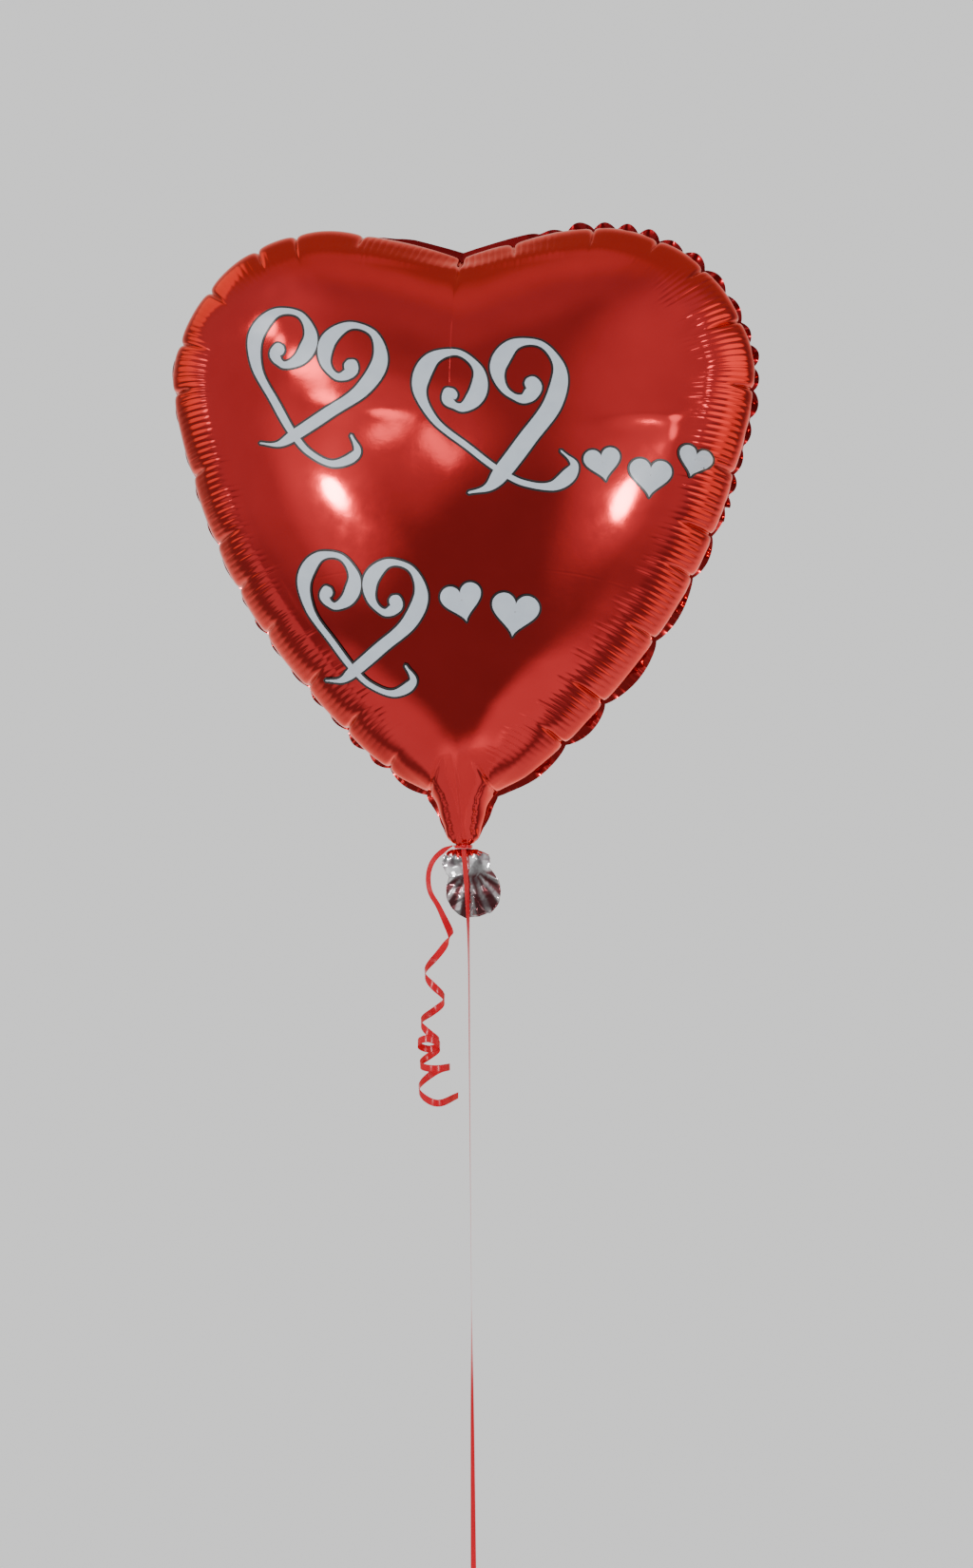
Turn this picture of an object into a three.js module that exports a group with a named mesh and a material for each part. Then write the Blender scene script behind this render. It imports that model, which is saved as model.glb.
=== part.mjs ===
// Heart-shaped foil balloon on a ribbon, in millimetres. +Z is up and the printed face looks along -Y.
// The origin is the middle of the neck, where the ribbon is tied round it.
import * as THREE from "three";

// Driving dimensions.
const HEART_HALF_WIDTH = 203; // to the weld line, without the rim
const HEART_TOP = 431; // top of the lobes above the tie
const CLEFT = 410; // bottom of the notch between the lobes
const RIM_WIDTH = 7; // welded margin outside the weld line
const FILM_WALL = 1; // thickness of a film panel
const RIM_PLY = 0.5; // thickness of one film in the rim
const THROAT_RADIUS = 5; // the neck where the ribbon gathers it
const TAIL_LENGTH = 47.4; // the tab of film below the tie
const TAIL_HALF_WIDTH = 17.5;
const RIBBON_WIDTH = 5;
const RIBBON_PLY = 0.8; // stands in for a film ribbon of 0.15
const TETHER_LENGTH = 515; // from the knot at the neck to the knot of the hand loop
const LOOP_HEIGHT = 52; // hand loop below its knot
const CLEARANCE = 0.3; // between neighbouring pieces

const radians = THREE.MathUtils.degToRad;
const lerp = THREE.MathUtils.lerp;
const smoothstep = THREE.MathUtils.smoothstep;
const point = (x, z) => new THREE.Vector3(x, 0, z);

const FINISH = {
  foil: { color: 0xb01018, roughness: 0.22, metalness: 1 },
  silver: { color: 0xc9ccd0, roughness: 0.2, metalness: 1 },
  valve: { color: 0xdfe6ea, roughness: 0.35, metalness: 0 },
  ribbon: { color: 0xd01428, roughness: 0.3, metalness: 0 },
};

function mesh(name, geometry, finish) {
  const made = new THREE.Mesh(geometry, new THREE.MeshStandardMaterial(FINISH[finish]));
  made.name = name;
  return made;
}

// A closed geometry from vertices and quads, with its faces turned to point out.
function closedGeometry(vertices, quads) {
  const triangles = quads.flatMap(([a, b, c, d]) => [[a, b, c], [a, c, d]]);
  const volume = triangles.reduce((sum, [a, b, c]) => {
    return sum + vertices[a].dot(vertices[b].clone().cross(vertices[c]));
  }, 0);
  const facing = volume > 0 ? triangles : triangles.map(([a, b, c]) => [a, c, b]);
  const geometry = new THREE.BufferGeometry().setFromPoints(vertices);
  geometry.setIndex(facing.flat());
  return geometry;
}

// Points along half an outline, closer together at its start. Both ends lie on x = 0.
function halfOutline(knots, count, crowding) {
  const curve = new THREE.CatmullRomCurve3(knots, false, "centripetal");
  curve.arcLengthDivisions = 600;
  return Array.from({ length: count + 1 }, (_, i) => {
    const share = i / count;
    return curve.getPointAt(crowding * share + (1 - crowding) * share ** 2);
  });
}

// The outline moved sideways by offset(i), outwards where that is positive. Its ends move along z only.
function offsetOutline(outline, offset) {
  const last = outline.length - 1;
  return outline.map((p, i) => {
    const along = outline[Math.min(i + 1, last)].clone().sub(outline[Math.max(i - 1, 0)]);
    const out = point(along.z, -along.x).normalize();
    if (out.dot(p.clone().sub(outline.centre)) < 0) out.negate();
    const upright = point(0, Math.sign(out.z) || 1);
    out.lerp(upright, 1 - smoothstep(p.x, 0, 20 * Math.min(1, Math.abs(p.z) / 100))).normalize();
    return p.clone().addScaledVector(out, offset(i));
  });
}

// Rows of points from each outline point in to the spine, a stretch of the line x = 0.
function halfSheet(outline, spine, columns) {
  const last = outline.length - 1;
  return outline.map((p, i) => {
    const foot = point(0, lerp(spine[0], spine[1], 1 - (1 - i / last) ** 1.5));
    return Array.from({ length: columns + 1 }, (_, j) => p.clone().lerp(foot, (j / columns) ** 2));
  });
}

// How far gas pressure lifts each point of a half sheet that is held along its outline: the soap-film
// equation, solved on the sheet's own triangles, then sharpened to an inflated section.
function inflatedHeights(sheet, fullness) {
  const width = sheet[0].length;
  const points = sheet.flat();
  const links = points.map(() => new Map());
  const load = points.map(() => 0);
  const addCorner = (a, b, c) => {
    const u = points[b].clone().sub(points[a]);
    const v = points[c].clone().sub(points[a]);
    const area = u.clone().cross(v).length() / 2;
    if (area < 1e-9) return;
    load[a] += area / 3;
    const weight = u.dot(v) / (4 * area);
    links[b].set(c, (links[b].get(c) || 0) + weight);
    links[c].set(b, (links[c].get(b) || 0) + weight);
  };
  for (let i = 0; i + 1 < sheet.length; i++) {
    for (let j = 0; j + 1 < width; j++) {
      const a = i * width + j;
      const [b, c, d] = [a + 1, a + width + 1, a + width];
      for (const [p, q, r] of [[a, b, c], [a, c, d]]) {
        addCorner(p, q, r);
        addCorner(q, r, p);
        addCorner(r, p, q);
      }
    }
  }
  const lift = points.map(() => 0);
  const OVER_RELAX = 1.6;
  for (let sweep = 0; sweep < 3000; sweep++) {
    for (let n = 0; n < points.length; n++) {
      if (n % width === 0) continue;
      let pull = load[n];
      let total = 0;
      for (const [m, weight] of links[n]) {
        pull += weight * lift[m];
        total += weight;
      }
      if (total > 0) lift[n] += OVER_RELAX * (pull / total - lift[n]);
    }
  }
  return sheet.map((row, i) => row.map((_, j) => fullness * Math.max(lift[i * width + j], 0) ** 0.465));
}

// One film of an inflated pair: a hollow dish with a flat welded rim. side is -1 for the front film and
// 1 for the back.
function filmPanel({ knots, rows, columns, crowding, spine, fullness, side, wall, rimWidth }) {
  const outline = halfOutline(knots, rows, crowding);
  outline.centre = point(0, (spine[0] + spine[1]) / 2);
  const inset = offsetOutline(outline, () => -wall);
  const rim = offsetOutline(outline, rimWidth);
  const outside = halfSheet(outline, spine, columns);
  const inside = halfSheet(inset, spine, columns);
  const outHeights = inflatedHeights(outside, fullness);
  const inHeights = inflatedHeights(inside, fullness);
  const weldPlane = CLEARANCE / 2;
  const at = (p, depth, mirror) => new THREE.Vector3(mirror * p.x, side * depth, p.z);
  const vertices = [];
  const quads = [];
  for (const mirror of [1, -1]) {
    const first = vertices.length;
    const ring = 2 * columns + 4;
    outline.forEach((_, i) => {
      for (let j = columns; j >= 0; j--) {
        vertices.push(at(outside[i][j], weldPlane + RIM_PLY + outHeights[i][j], mirror));
      }
      vertices.push(at(rim[i], weldPlane + RIM_PLY, mirror));
      vertices.push(at(rim[i], weldPlane, mirror));
      for (let j = 0; j <= columns; j++) {
        vertices.push(at(inside[i][j], weldPlane + inHeights[i][j], mirror));
      }
    });
    for (let i = 0; i + 1 < outline.length; i++) {
      for (let k = 0; k + 1 < ring; k++) {
        const a = first + i * ring + k;
        const quad = [a, a + 1, a + ring + 1, a + ring];
        quads.push(mirror > 0 ? quad : quad.reverse());
      }
    }
  }
  return closedGeometry(vertices, quads);
}

const HEART = {
  knots: [
    point(0, -3.4), point(THROAT_RADIUS - 1, -3), point(THROAT_RADIUS, -1.6), point(5.3, 0.3),
    point(7.9, 2.2), point(9.6, 5), point(13, 10.5), point(16.2, 18.5), point(19, 28), point(25, 37),
    point(50, 55), point(78, 80), point(134, 146), point(170, 209), point(196, 287),
    point(HEART_HALF_WIDTH, 334), point(188, 378), point(154, 414), point(102, HEART_TOP),
    point(48, 423), point(0, CLEFT),
  ],
  rows: 52,
  columns: 6,
  crowding: 0.3,
  spine: [3.5, 300],
  fullness: 1.56,
  wall: FILM_WALL,
  rimWidth: (i) => lerp(0.4, RIM_WIDTH, smoothstep(i, 8, 20)),
};

const TAIL_TOP = -5.6;
const TAIL = {
  knots: [
    point(0, TAIL_TOP), point(3.4, TAIL_TOP - 0.3), point(8.6, -7.6), point(14, -9.6), point(15, -13.5),
    point(12.6, -21), point(15.6, -26.5), point(TAIL_HALF_WIDTH, -35), point(14.8, -44.5),
    point(8, -51.2), point(0, TAIL_TOP - TAIL_LENGTH),
  ],
  rows: 26,
  columns: 3,
  crowding: 0.75,
  spine: [TAIL_TOP - 4, -38],
  fullness: 0.5,
  wall: 0.6,
  rimWidth: () => 0.6,
};

function films() {
  const group = new THREE.Group();
  group.add(mesh("front_film", filmPanel({ ...HEART, side: -1 }), "foil"));
  group.add(mesh("back_film", filmPanel({ ...HEART, side: 1 }), "foil"));
  return group;
}

// The valve: two clear strips inside the neck, which gas pressure presses together.
function valve() {
  const VALVE_BOTTOM = 4;
  const VALVE_TOP = 92;
  const VALVE_PLY = 0.4;
  const shape = new THREE.Shape();
  shape.moveTo(-5, VALVE_BOTTOM);
  shape.lineTo(5, VALVE_BOTTOM);
  shape.quadraticCurveTo(9, 18, 10, 34);
  shape.lineTo(12, VALVE_TOP);
  shape.lineTo(-12, VALVE_TOP);
  shape.lineTo(-10, 34);
  shape.quadraticCurveTo(-9, 18, -5, VALVE_BOTTOM);
  const group = new THREE.Group();
  const plies = [["valve_front_ply", -VALVE_PLY - CLEARANCE / 2], ["valve_back_ply", CLEARANCE / 2]];
  for (const [name, y] of plies) {
    const ply = new THREE.ExtrudeGeometry(shape, { depth: VALVE_PLY, bevelEnabled: false, curveSegments: 6 });
    ply.rotateX(Math.PI / 2).translate(0, y + VALVE_PLY, 0);
    group.add(mesh(name, ply, "valve"));
  }
  return group;
}

// The filling tail below the tie, which leans to one side.
function tail() {
  const TAIL_LEAN = -13;
  const PIVOT = -3;
  const group = new THREE.Group();
  group.position.z = PIVOT;
  group.rotation.y = radians(TAIL_LEAN);
  for (const [name, side] of [["tail_front_ply", -1], ["tail_back_ply", 1]]) {
    group.add(mesh(name, filmPanel({ ...TAIL, side }).translate(0, 0, -PIVOT), "silver"));
  }
  return group;
}

const TIE = { inner: THROAT_RADIUS + 0.7, outer: THROAT_RADIUS + 1.8, low: -2.7, high: -1 };
const TIE_MIDDLE = (TIE.low + TIE.high) / 2;
const KNOT_RADIUS = 2;
const KNOT = new THREE.Vector3(1.2, -TIE.outer - CLEARANCE - KNOT_RADIUS, TIE_MIDDLE);

// The turns of ribbon round the neck, and their knot.
function tie() {
  const { inner, outer, low, high } = TIE;
  const profile = [[inner, low], [outer, low], [outer, high], [inner, high], [inner, low]];
  const turns = new THREE.LatheGeometry(profile.map(([r, z]) => new THREE.Vector2(r, z)), 40);
  turns.rotateX(Math.PI / 2);
  const knot = new THREE.SphereGeometry(KNOT_RADIUS, 16, 10);
  knot.translate(...KNOT.toArray());
  const group = new THREE.Group();
  group.add(mesh("ribbon_wrap", turns, "ribbon"), mesh("ribbon_knot", knot, "ribbon"));
  return group;
}

// A flat ribbon along a curve that lies nearly in an XZ plane. wideAlongY turns its width across that
// plane.
function flatRibbon(curve, steps, wideAlongY) {
  const [w, t] = [RIBBON_WIDTH / 2, RIBBON_PLY / 2];
  const corners = [
    [w, -t / 2], [w, t / 2], [0.9 * w, t], [-0.9 * w, t],
    [-w, t / 2], [-w, -t / 2], [-0.9 * w, -t], [0.9 * w, -t],
  ];
  const section = new THREE.Shape(corners.map(([across, up]) => {
    return wideAlongY ? new THREE.Vector2(across, up) : new THREE.Vector2(-up, across);
  }));
  return new THREE.ExtrudeGeometry(section, { extrudePath: curve, steps });
}

const TETHER_START = new THREE.Vector3(KNOT.x, KNOT.y - 0.7, KNOT.z - KNOT_RADIUS - CLEARANCE);
const TETHER_END = new THREE.Vector3(8.2, TETHER_START.y, TETHER_START.z - TETHER_LENGTH);

// The long ribbon that holds the balloon, pulled straight but for where it rides over the tail.
function tether() {
  const STEPS = 40;
  const route = [TETHER_START];
  for (const [x, z] of [[3.4, -32], [4.6, -66], [5.7, -200]]) {
    route.push(new THREE.Vector3(x, TETHER_START.y, z));
  }
  route.push(TETHER_END);
  return mesh("tether_ribbon", flatRibbon(new THREE.CatmullRomCurve3(route), STEPS, false), "ribbon");
}

// The short end of the ribbon: a free stretch from the tie, then the outer shape of its curls.
function curl() {
  const lead = new THREE.CatmullRomCurve3([
    new THREE.Vector3(-TIE.outer - 0.7, -1, TIE_MIDDLE), new THREE.Vector3(-13.5, 1.2, -4.7),
    new THREE.Vector3(-19.8, 4.2, -9.6), new THREE.Vector3(-24.4, 7, -16.5), new THREE.Vector3(-26, 7.6, -25),
    new THREE.Vector3(-24, 3.8, -35.5), new THREE.Vector3(-17.3, -0.5, -45),
    new THREE.Vector3(-13.9, 0.2, -51.3),
  ]);
  const STEPS = 14;
  const CURL_AXIS = new THREE.Vector2(-20, 8);
  const outer = [
    [0, -189], [10, -188.5], [15.5, -182], [15.5, -158],
    [13.5, -125], [12.2, -95], [10.5, -52], [0, -52],
  ];
  const coil = new THREE.LatheGeometry(outer.map(([r, z]) => new THREE.Vector2(r, z)), 24);
  coil.rotateX(Math.PI / 2).translate(CURL_AXIS.x, CURL_AXIS.y, 0);
  const group = new THREE.Group();
  group.add(mesh("curl_lead", flatRibbon(lead, STEPS, true), "ribbon"), mesh("curl_coil", coil, "ribbon"));
  return group;
}

// The loop for a finger or a hook, tied in the lower end of the ribbon.
function handLoop() {
  const LOOP_KNOT_RADIUS = 3;
  const LOOP_HALF_WIDTH = 13;
  const knotZ = TETHER_END.z - CLEARANCE - LOOP_KNOT_RADIUS;
  const top = knotZ - LOOP_KNOT_RADIUS - CLEARANCE;
  const teardrop = (path, half, low, high) => {
    const middle = lerp(low, high, 0.36);
    path.moveTo(0, high);
    path.bezierCurveTo(-0.25 * half, lerp(middle, high, 0.7), -half, lerp(middle, high, 0.45), -half, middle);
    path.bezierCurveTo(-half, lerp(middle, low, 0.6), -0.55 * half, low, 0, low);
    path.bezierCurveTo(0.55 * half, low, half, lerp(middle, low, 0.6), half, middle);
    path.bezierCurveTo(half, lerp(middle, high, 0.45), 0.25 * half, lerp(middle, high, 0.7), 0, high);
    return path;
  };
  const shape = teardrop(new THREE.Shape(), LOOP_HALF_WIDTH, top - LOOP_HEIGHT, top);
  const hole = [LOOP_HALF_WIDTH - RIBBON_PLY, top - LOOP_HEIGHT + RIBBON_PLY, top - 4 * RIBBON_PLY];
  shape.holes.push(teardrop(new THREE.Path(), ...hole));
  const flat = { depth: RIBBON_WIDTH, bevelEnabled: false, curveSegments: 8 };
  const loop = new THREE.ExtrudeGeometry(shape, flat);
  loop.rotateX(Math.PI / 2).translate(TETHER_END.x, TETHER_END.y + RIBBON_WIDTH / 2, 0);
  const knot = new THREE.SphereGeometry(LOOP_KNOT_RADIUS, 16, 10);
  knot.translate(TETHER_END.x, TETHER_END.y, knotZ);
  const group = new THREE.Group();
  group.add(mesh("loop_knot", knot, "ribbon"), mesh("hand_loop", loop, "ribbon"));
  return group;
}

const balloon = new THREE.Group();
balloon.add(films(), valve(), tail(), tie(), tether(), curl(), handLoop());

export default balloon;
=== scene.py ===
"""A heart-shaped foil balloon on a curling ribbon: the looks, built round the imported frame. Metres, +Z up."""

import math

import bpy
import numpy as np
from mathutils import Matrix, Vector
from mathutils.bvhtree import BVHTree


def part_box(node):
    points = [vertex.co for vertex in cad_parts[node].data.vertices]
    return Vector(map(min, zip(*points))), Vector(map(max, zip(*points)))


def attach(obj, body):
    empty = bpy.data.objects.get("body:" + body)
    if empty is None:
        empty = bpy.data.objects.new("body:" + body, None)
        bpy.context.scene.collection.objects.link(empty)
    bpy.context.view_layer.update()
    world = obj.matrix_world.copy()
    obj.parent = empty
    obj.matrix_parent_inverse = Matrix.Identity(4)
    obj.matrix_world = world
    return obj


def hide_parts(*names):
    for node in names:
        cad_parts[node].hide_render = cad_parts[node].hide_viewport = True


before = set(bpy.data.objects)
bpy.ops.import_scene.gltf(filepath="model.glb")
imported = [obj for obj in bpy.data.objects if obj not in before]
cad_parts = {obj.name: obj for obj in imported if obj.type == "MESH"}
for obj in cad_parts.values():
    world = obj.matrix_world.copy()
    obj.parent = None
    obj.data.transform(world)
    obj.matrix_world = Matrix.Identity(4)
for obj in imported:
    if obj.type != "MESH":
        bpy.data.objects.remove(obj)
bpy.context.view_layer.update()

MM = 0.001

# The weld line of the heart, right half, from below the tie up to the cleft, in millimetres (x, z).
HEART = [
    (0, -3.4), (4, -3), (5, -1.6), (5.3, 0.3), (7.9, 2.2), (9.6, 5), (13, 10.5), (16.2, 18.5), (19, 28),
    (25, 37), (50, 55), (78, 80), (134, 146), (170, 209), (196, 287), (203, 334), (188, 378),
    (154, 414), (102, 431), (48, 423), (0, 410),
]
# Where the sharp creases meet the weld line, in millimetres along it from its lower end, on each side.
CREASES = {
    1: (46, 107, 147, 204, 255, 287, 333, 393, 441, 485, 522, 568, 625, 663),
    -1: (48, 81, 121, 162, 210, 247, 282, 333, 393, 428, 470, 514, 543, 591, 663),
}
# How strongly each side is rippled, and how far its welded margin reaches, at places along the weld line.
RIPPLED = {
    1: (
        (0, 0.2), (80, 0.35), (130, 1.3), (330, 1.1), (390, 1.2), (475, 1.2), (500, 0.2), (585, 0.3),
        (600, 1.2), (664, 1.2),
    ),
    -1: ((0, 0.2), (80, 0.3), (150, 1.1), (420, 1.0), (450, 0.2), (585, 0.3), (600, 1.1), (664, 1.1)),
}
MARGIN = {
    1: ((14, 0.3), (40, 4), (50, 7.5), (110, 10), (200, 11), (260, 7.5), (400, 7.5), (500, 9.5), (664, 9.5)),
    -1: ((14, 0.3), (40, 4), (50, 7), (420, 6.5), (470, 4.5), (590, 4.5), (625, 9), (664, 9.5)),
}
# Soft dents and swellings of the face, in millimetres: x, z, reach along x and along z, height.
SOFT_FOLDS = [
    (166, 358, 6, 8, -0.9), (-126, 383, 9, 6, -0.7), (128, 296, 34, 7, 1.3), (150, 282, 9, 16, 0.8),
    (-118, 330, 12, 30, 0.9), (-60, 300, 30, 8, 0.8), (-150, 250, 10, 26, -0.8),
]
# The edge of the filling tail, right half, from its top down to its tip, before it leans over.
TAIL_TOP = -4.5
TAIL_OUTLINE = [
    (0, TAIL_TOP), (4.2, TAIL_TOP), (5.4, TAIL_TOP - 0.15), (7.4, -5.3), (9.8, -6.6), (12, -8.4),
    (14.6, -11.6), (14.4, -15.5), (12.6, -21), (15.6, -26.5), (17.5, -35), (14.8, -44.5), (8, -51.2),
    (0, -53),
]
TAIL_PIVOT = -3
TAIL_LEAN = math.radians(-13)

RIBBON_WIDTH = 5 * MM
RIBBON_PLY = 0.16 * MM
KNOT = np.array([1.2, -9.1, -1.85]) * MM
TETHER_ROUTE = np.array([
    (1.2, -9.8, -4.15), (3.4, -9.8, -32), (4.6, -9.8, -66), (5.7, -9.8, -200), (8.2, -9.8, -519.15),
]) * MM
LEAD_ROUTE = np.array([
    (-7.5, -1, -1.85), (-13.5, 1.2, -4.7), (-19.8, 4.2, -9.6), (-24.4, 7, -16.5), (-26, 7.6, -25),
    (-24, 3.8, -35.5), (-17.3, -0.5, -45), (-13.9, 0.2, -51.3),
]) * MM


# ---------------------------------------------------------------- curves and grids


def smoothstep(x, low, high):
    t = np.clip((x - low) / (high - low), 0, 1)
    return t * t * (3 - 2 * t)


def spline(points, per_span=60):
    """A dense centripetal Catmull-Rom curve through the points."""
    p = np.asarray(points, float)
    p = np.vstack([2 * p[0] - p[1], p, 2 * p[-1] - p[-2]])
    t = np.linspace(0, 1, per_span, endpoint=False)[:, None]
    spans = []
    for p0, p1, p2, p3 in zip(p, p[1:], p[2:], p[3:]):
        d0, d1, d2 = (max(np.linalg.norm(b - a) ** 0.5, 1e-9) for a, b in ((p0, p1), (p1, p2), (p2, p3)))
        m1 = d1 * ((p1 - p0) / d0 - (p2 - p0) / (d0 + d1) + (p2 - p1) / d1)
        m2 = d1 * ((p2 - p1) / d1 - (p3 - p1) / (d1 + d2) + (p3 - p2) / d2)
        a = (2 * t**3 - 3 * t**2 + 1) * p1 + (t**3 - 2 * t**2 + t) * m1
        spans.append(a + (3 * t**2 - 2 * t**3) * p2 + (t**3 - t**2) * m2)
    return np.vstack([*spans, p[-2][None]])


def run_length(points):
    return np.r_[0, np.cumsum(np.linalg.norm(np.diff(points, axis=0), axis=1))]


def evenly(points, count):
    """count points spaced evenly along a polyline."""
    s = run_length(points)
    at = np.linspace(0, s[-1], count)
    return np.stack([np.interp(at, s, points[:, k]) for k in range(points.shape[1])], axis=1)


def softened(points, passes):
    """The polyline with its curvature evened out; its ends stay."""
    p = points.copy()
    for _ in range(passes):
        p[1:-1] += 0.5 * ((p[:-2] + p[2:]) / 2 - p[1:-1])
    return p


def unit(v):
    return v / np.maximum(np.linalg.norm(v, axis=-1, keepdims=True), 1e-12)


def cubic_refine(values, count, axis):
    """values sampled at count even steps along an axis, by cubic interpolation."""
    v = np.moveaxis(values, axis, 0)
    at = np.linspace(0, len(v) - 1, count)
    i = np.clip(at.astype(int), 0, len(v) - 2)
    t = (at - i).reshape(-1, *[1] * (v.ndim - 1))
    before, after = v[np.maximum(i - 1, 0)], v[np.minimum(i + 2, len(v) - 1)]
    p, q = v[i], v[i + 1]
    cubic = 3 * (p - q) + after - before
    square = 2 * before - 5 * p + 4 * q - after + t * cubic
    out = p + 0.5 * t * (q - before + t * square)
    return np.moveaxis(out, 0, axis)


def make_object(name, vertices, faces, material):
    """A smooth-shaded mesh object; faces may be a list of lists or an array."""
    mesh = bpy.data.meshes.new(name)
    mesh.from_pydata(np.asarray(vertices).tolist(), [], faces if isinstance(faces, list) else faces.tolist())
    mesh.materials.append(material)
    mesh.shade_smooth()
    made = bpy.data.objects.new(name, mesh)
    bpy.context.collection.objects.link(made)
    return made


def mark(piece, name, values):
    """A number at each vertex for the piece's material to read."""
    attribute = piece.data.attributes.new(name, "FLOAT", "POINT")
    attribute.data.foreach_set("value", np.asarray(values, np.float32))


def quads(rows, columns, wrap_rows=False, wrap_columns=False):
    """Faces of a grid of vertices that is stored row by row."""
    i = np.arange(rows if wrap_rows else rows - 1)[:, None]
    j = np.arange(columns if wrap_columns else columns - 1)[None, :]
    a, b = i % rows * columns, (i + 1) % rows * columns
    return np.stack([a + j, a + (j + 1) % columns, b + (j + 1) % columns, b + j], axis=-1).reshape(-1, 4)


# ---------------------------------------------------------------- materials


def new_material(name, **settings):
    material = bpy.data.materials.new(name)
    material.use_nodes = True
    shader = material.node_tree.nodes["Principled BSDF"]
    for socket, value in settings.items():
        shader.inputs[socket.replace("_", " ")].default_value = value
    return material, material.node_tree, shader


def link(tree, source, target):
    tree.links.new(source, target)


def noise(tree, scale, detail=2.0, rough=0.5):
    """Noise in the object's own coordinates, with features about 1/scale metres across."""
    where = tree.nodes.new("ShaderNodeTexCoord")
    made = tree.nodes.new("ShaderNodeTexNoise")
    made.inputs["Scale"].default_value = scale
    made.inputs["Detail"].default_value = detail
    made.inputs["Roughness"].default_value = rough
    link(tree, where.outputs["Object"], made.inputs["Vector"])
    return made.outputs["Fac"]


def ramp(tree, value, low, high, start, end):
    """value mapped from low..high to start..end: numbers or colours."""
    if isinstance(start, (int, float)):
        made = tree.nodes.new("ShaderNodeMapRange")
        for name, v in (("From Min", low), ("From Max", high), ("To Min", start), ("To Max", end)):
            made.inputs[name].default_value = v
        link(tree, value, made.inputs["Value"])
        return made.outputs["Result"]
    made = tree.nodes.new("ShaderNodeValToRGB")
    made.color_ramp.elements[0].position, made.color_ramp.elements[1].position = low, high
    made.color_ramp.elements[0].color, made.color_ramp.elements[1].color = (*start, 1), (*end, 1)
    link(tree, value, made.inputs["Fac"])
    return made.outputs["Color"]


def bump(tree, shader, heights, strength, distance):
    """A bump of heights on the shader, on top of any that is there."""
    made = tree.nodes.new("ShaderNodeBump")
    made.inputs["Strength"].default_value = strength
    made.inputs["Distance"].default_value = distance
    link(tree, heights, made.inputs["Height"])
    if shader.inputs["Normal"].is_linked:
        link(tree, shader.inputs["Normal"].links[0].from_socket, made.inputs["Normal"])
    link(tree, made.outputs["Normal"], shader.inputs["Normal"])


def read_mark(tree, name):
    made = tree.nodes.new("ShaderNodeAttribute")
    made.attribute_name = name
    return made.outputs["Fac"]


def red_foil():
    material, tree, shader = new_material(
        "red_foil", Metallic=1.0, Coat_Weight=0.3, Coat_Roughness=0.06, Coat_IOR=1.5,
        Specular_Tint=(1.0, 0.5, 0.42, 1),
    )
    inflated = ramp(tree, noise(tree, 30), 0.3, 0.7, (0.65, 0.026, 0.030), (0.70, 0.030, 0.034))
    # The dark mark is painted shade: it turns the foil dark red on the welded margin, most towards the top, and
    # in lines along the creases.
    mix = tree.nodes.new("ShaderNodeMix")
    mix.data_type = "RGBA"
    link(tree, read_mark(tree, "dark"), mix.inputs["Factor"])
    link(tree, inflated, mix.inputs["A"])
    mix.inputs["B"].default_value = (0.26, 0.002, 0.006, 1)
    link(tree, mix.outputs["Result"], shader.inputs["Base Color"])
    dulled = tree.nodes.new("ShaderNodeMath")
    dulled.operation = "MULTIPLY_ADD"
    link(tree, read_mark(tree, "dark"), dulled.inputs[0])
    dulled.inputs[1].default_value = 0.14
    link(tree, ramp(tree, noise(tree, 90, 4), 0.3, 0.7, 0.08, 0.13), dulled.inputs[2])
    link(tree, dulled.outputs["Value"], shader.inputs["Roughness"])
    bump(tree, shader, noise(tree, 900, 2), 0.05, 0.00005)
    bump(tree, shader, noise(tree, 160, 3), 0.12, 0.00025)
    return material


def tail_foil():
    """Bare metal film, streaked with painted shade and dark-red painted reflection on its lower disc, red where
    the neck's print runs down onto it.
    """
    material, tree, shader = new_material("tail_foil", Metallic=1.0, Coat_Weight=0.2, Coat_Roughness=0.05)
    colour = ramp(tree, noise(tree, 150), 0.36, 0.54, (0.42, 0.36, 0.40), (0.84, 0.86, 0.90))
    # The first mark paints shade and a dark-red reflection on the lower disc; the second is the neck's red
    # print.
    for name, shown in (("painted_shade_and_reflection", (0.20, 0.035, 0.045, 1)), ("ink", (0.60, 0.008, 0.012, 1))):
        mix = tree.nodes.new("ShaderNodeMix")
        mix.data_type = "RGBA"
        link(tree, colour, mix.inputs["A"])
        mix.inputs["B"].default_value = shown
        link(tree, read_mark(tree, name), mix.inputs["Factor"])
        colour = mix.outputs["Result"]
    link(tree, colour, shader.inputs["Base Color"])
    link(tree, ramp(tree, noise(tree, 500, 4), 0.3, 0.7, 0.02, 0.06), shader.inputs["Roughness"])
    bump(tree, shader, noise(tree, 700, 3), 0.1, 0.0001)
    return material


def ribbon_plastic():
    """Glossy polypropylene, with the fine ribs that run along curling ribbon."""
    material, tree, shader = new_material(
        "ribbon_plastic", Coat_Weight=0.12, Coat_Roughness=0.16, Specular_IOR_Level=0.25,
    )
    ribs = tree.nodes.new("ShaderNodeMath")
    ribs.operation = "SINE"
    link(tree, read_mark(tree, "across"), ribs.inputs[0])
    reds = ramp(tree, noise(tree, 25), 0.3, 0.7, (0.66, 0.001, 0.016), (0.74, 0.002, 0.020))
    link(tree, reds, shader.inputs["Base Color"])
    link(tree, ramp(tree, noise(tree, 60, 3), 0.3, 0.7, 0.20, 0.26), shader.inputs["Roughness"])
    bump(tree, shader, ribs.outputs["Value"], 0.05, 0.00001)
    return material


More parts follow.
